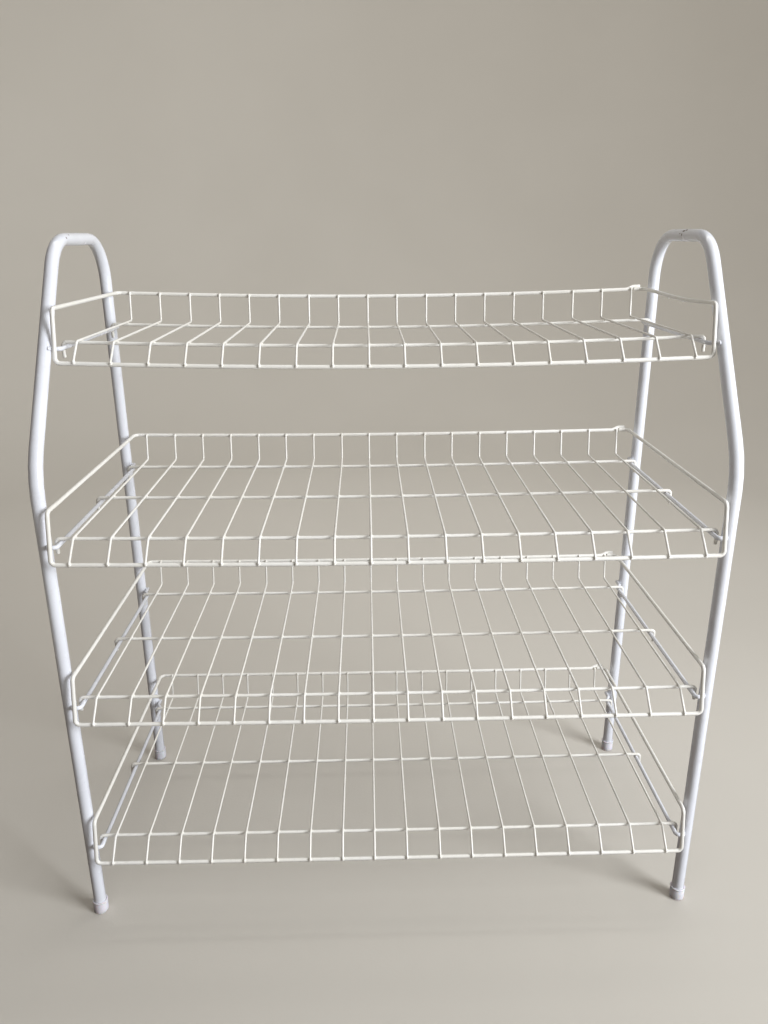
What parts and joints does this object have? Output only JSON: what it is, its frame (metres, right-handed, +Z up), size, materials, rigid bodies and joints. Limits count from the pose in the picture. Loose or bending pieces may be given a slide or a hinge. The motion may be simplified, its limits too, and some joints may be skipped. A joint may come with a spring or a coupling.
{
  "type": "tiered shoe rack",
  "caption": "Open shoe rack: hooped tube end frames with welded side bars, and hook-on wire basket shelves with a sloping front lip and a low rear fence.",
  "frame": {"origin": "floor level, under the middle of the whole rack", "axes": "+X to the rack's right as seen from the front, -Y towards the user standing in front, +Z up"},
  "size_m": [0.766, 0.3549, 0.8245],
  "materials": {
    "frame_enamel": "glossy cool white enamel on steel tube, lightly chipped",
    "shelf_coating": "semi-gloss warm off-white epoxy coating on steel wire",
    "foot_cap": "smooth moulded plastic"
  },
  "bodies": {
    "end_frames": {"left_frame_tube": "frame_enamel", "right_frame_tube": "frame_enamel", "front_left_foot": "foot_cap", "front_right_foot": "foot_cap", "rear_left_foot": "foot_cap", "rear_right_foot": "foot_cap", "left_bar_1": "frame_enamel", "left_bar_2": "frame_enamel", "left_bar_3": "frame_enamel", "left_bar_4": "frame_enamel", "right_bar_1": "frame_enamel", "right_bar_2": "frame_enamel", "right_bar_3": "frame_enamel", "right_bar_4": "frame_enamel"},
    "shelf_1": {"shelf_1_rim": "shelf_coating", "shelf_1_front_rod": "shelf_coating", "shelf_1_middle_rod": "shelf_coating", "shelf_1_rear_rod": "shelf_coating", "shelf_1_cross_wires": "shelf_coating"},
    "shelf_2": {"shelf_2_rim": "shelf_coating", "shelf_2_front_rod": "shelf_coating", "shelf_2_middle_rod": "shelf_coating", "shelf_2_rear_rod": "shelf_coating", "shelf_2_cross_wires": "shelf_coating"},
    "shelf_3": {"shelf_3_rim": "shelf_coating", "shelf_3_front_rod": "shelf_coating", "shelf_3_middle_rod": "shelf_coating", "shelf_3_rear_rod": "shelf_coating", "shelf_3_cross_wires": "shelf_coating"},
    "shelf_4": {"shelf_4_rim": "shelf_coating", "shelf_4_front_rod": "shelf_coating", "shelf_4_rear_rod": "shelf_coating", "shelf_4_cross_wires": "shelf_coating"}
  },
  "joints": [
    {"name": "shelf_1_lift", "type": "slide", "parent": "end_frames", "child": "shelf_1", "axis": [0, 0, 1], "range_m": [0, 0.13]},
    {"name": "shelf_2_lift", "type": "slide", "parent": "end_frames", "child": "shelf_2", "axis": [0, 0, 1], "range_m": [0, 0.13]},
    {"name": "shelf_3_lift", "type": "slide", "parent": "end_frames", "child": "shelf_3", "axis": [0, 0, 1], "range_m": [0, 0.13]},
    {"name": "shelf_4_lift", "type": "slide", "parent": "end_frames", "child": "shelf_4", "axis": [0, 0, 1], "range_m": [0, 0.2]}
  ]
}
